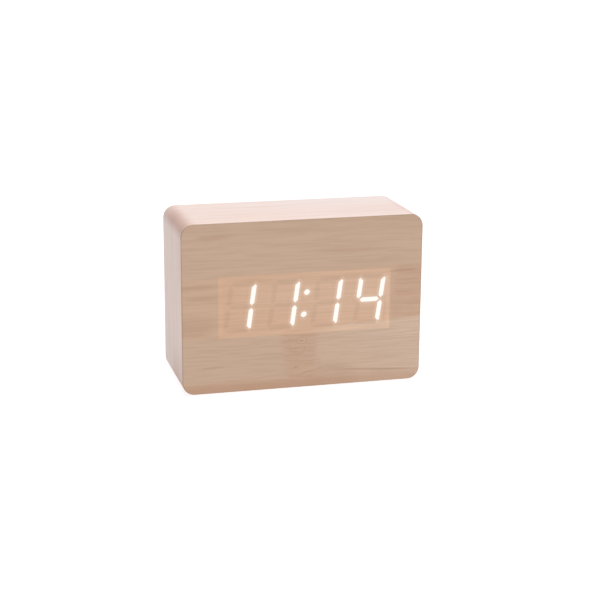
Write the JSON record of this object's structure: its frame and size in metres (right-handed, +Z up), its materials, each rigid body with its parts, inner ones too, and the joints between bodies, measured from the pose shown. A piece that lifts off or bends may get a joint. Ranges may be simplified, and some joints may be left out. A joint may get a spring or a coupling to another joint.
{
  "type": "alarm clock",
  "caption": "Small block-shaped table alarm clock with a bamboo front that LED digits shine through, buttons and a battery bay behind.",
  "frame": {"origin": "on the surface the clock stands on, under the middle of the case", "axes": "+X to the right of the display along the width, -Y out of the display, +Z up"},
  "size_m": [0.1, 0.04, 0.0708],
  "materials": {
    "bamboo_veneer": "satin bamboo veneer in three glued strips",
    "wood_wrap": "satin thin wood strip, grain running round the case",
    "fibreboard": "raw milled fibreboard",
    "cover_plastic": "fine spark-eroded texture",
    "button_plastic": "smooth satin",
    "reflector_plastic": "moulded white",
    "diffuser": "milky film",
    "lamp": "phosphor-filled lamp",
    "circuit_board": "solder mask",
    "screw_steel": "zinc-plated",
    "contact_metal": "nickel-plated",
    "cell_sleeve": "printed sleeve over a metal can",
    "black_plastic": "moulded black",
    "socket_steel": "tin-plated",
    "capsule_metal": "spun can",
    "sensor_bead": "dipped epoxy",
    "capacitor_sleeve": "shrunk sleeve",
    "red_insulation": "extruded",
    "black_insulation": "extruded",
    "ribbon_insulation": "extruded",
    "foot_rubber": "soft pad"
  },
  "bodies": {
    "case": {"case_core": "fibreboard", "side_wrap": "wood_wrap", "front_veneer": "bamboo_veneer", "rear_cover": "cover_plastic", "cover_screws": "screw_steel", "diffuser_film": "diffuser", "segment_reflector": "reflector_plastic", "display_board": "circuit_board", "segment_leds": "lamp", "display_screws": "screw_steel", "display_header": "black_plastic", "main_board": "circuit_board", "board_screws": "screw_steel", "board_header": "black_plastic", "display_ribbon": "ribbon_insulation", "usb_shell": "socket_steel", "usb_insert": "black_plastic", "buzzer": "black_plastic", "microphone": "capsule_metal", "temperature_sensor": "sensor_bead", "control_chip": "black_plastic", "clock_crystal": "capsule_metal", "filter_capacitor": "capacitor_sleeve", "negative_terminal": "contact_metal", "left_bridge_contact": "contact_metal", "right_bridge_contact": "contact_metal", "positive_terminal": "contact_metal", "battery_lead_black": "black_insulation", "battery_lead_red": "red_insulation", "foot_front_left": "foot_rubber", "foot_front_right": "foot_rubber", "foot_rear_left": "foot_rubber", "foot_rear_right": "foot_rubber", "battery_cell_1": "cell_sleeve", "battery_cell_2": "cell_sleeve", "battery_cell_3": "cell_sleeve", "set_switch": "black_plastic", "up_switch": "black_plastic", "down_switch": "black_plastic"},
    "battery_door": {"battery_door": "cover_plastic"},
    "set_button": {"set_button": "button_plastic", "set_plunger": "black_plastic"},
    "up_button": {"up_button": "button_plastic", "up_plunger": "black_plastic"},
    "down_button": {"down_button": "button_plastic", "down_plunger": "black_plastic"}
  },
  "joints": [
    {"name": "set_button_press", "type": "slide", "parent": "case", "child": "set_button", "axis": [0, -1, 0], "range_m": [0, 0.0004], "stiffness_N_per_m": 1500},
    {"name": "up_button_press", "type": "slide", "parent": "case", "child": "up_button", "axis": [0, -1, 0], "range_m": [0, 0.0004], "stiffness_N_per_m": 1500},
    {"name": "down_button_press", "type": "slide", "parent": "case", "child": "down_button", "axis": [0, -1, 0], "range_m": [0, 0.0004], "stiffness_N_per_m": 1500},
    {"name": "battery_door_tilt", "type": "hinge", "parent": "case", "child": "battery_door", "pos_m": [-0.03555, 0.01775, 0.02575], "axis": [0, 0, 1], "range_deg": [0, 60]}
  ]
}
